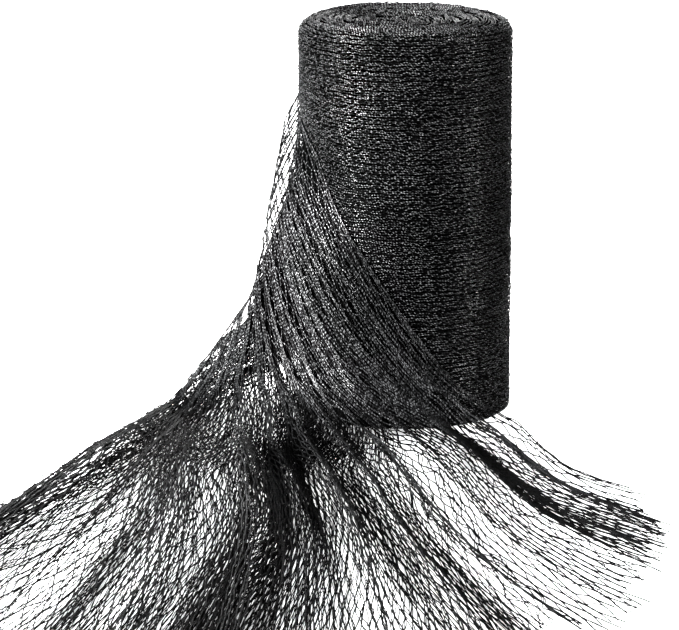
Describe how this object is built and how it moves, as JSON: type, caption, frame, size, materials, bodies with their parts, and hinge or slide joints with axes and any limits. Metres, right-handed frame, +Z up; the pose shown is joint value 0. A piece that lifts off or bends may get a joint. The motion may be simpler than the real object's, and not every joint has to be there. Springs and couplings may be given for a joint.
{
  "type": "bird netting roll",
  "caption": "Upright roll of black knitted bird netting whose outer wrap hangs off one side and fans out over the floor.",
  "frame": {"origin": "middle of the roll's flat lower end, on the surface that it stands on", "axes": "+Z up along the roll, -Y the front, where the loose end spreads, +X to the right"},
  "size_m": [0.9053, 1.2082, 0.5],
  "materials": {
    "wound_netting": "black knitted plastic yarn wound in many layers, satin glints",
    "loose_netting": "black knitted plastic yarn in open diamond meshes, satin glints"
  },
  "bodies": {
    "root": {"wound_roll": "wound_netting", "loose_net": "loose_netting"}
  },
  "joints": []
}
